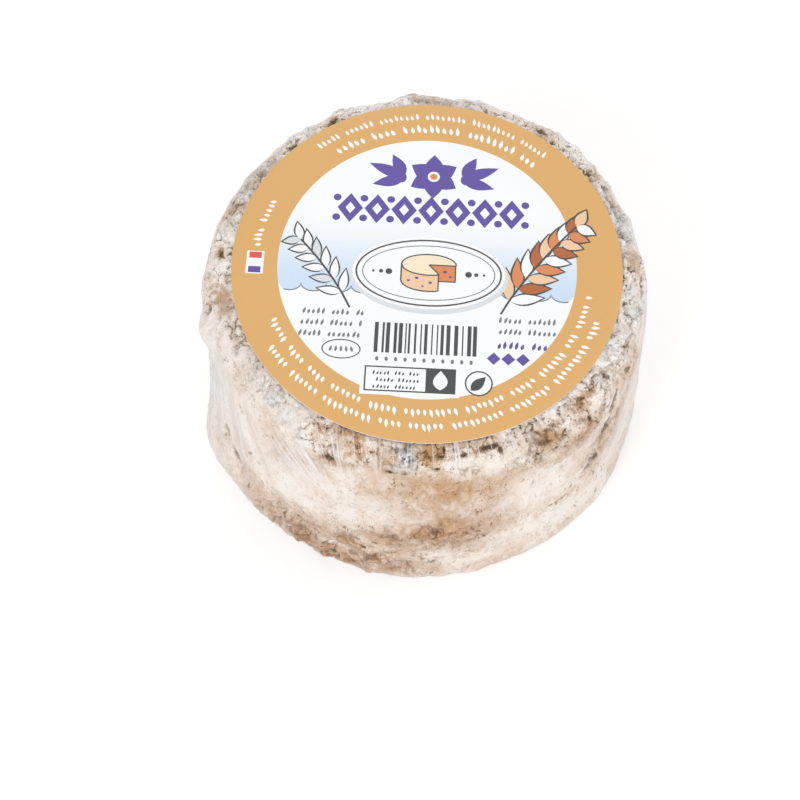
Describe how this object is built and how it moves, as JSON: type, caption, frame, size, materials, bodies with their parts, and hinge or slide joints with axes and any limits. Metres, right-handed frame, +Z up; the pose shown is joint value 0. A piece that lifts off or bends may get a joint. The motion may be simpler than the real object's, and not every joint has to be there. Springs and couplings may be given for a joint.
{
  "type": "blue goat cheese",
  "caption": "Small drum of blue goat cheese with a mottled natural rind, shrink-wrapped in clear film, with a round paper label on its flat top.",
  "frame": {"origin": "middle of the flat face that the wheel rests on", "axes": "+Z up through the drum's axis, -Y towards the front, the side that the label is read from"},
  "size_m": [0.0769, 0.0769, 0.0443],
  "materials": {
    "rind": "uneven white bloom with tan patches and dark specks, seen through clear film",
    "film": "clear shrink film with fine creases",
    "label_paper": "coated white paper with a tan printed ring, satin"
  },
  "bodies": {
    "root": {"wrapped_cheese": "rind", "label": "label_paper"}
  },
  "joints": []
}
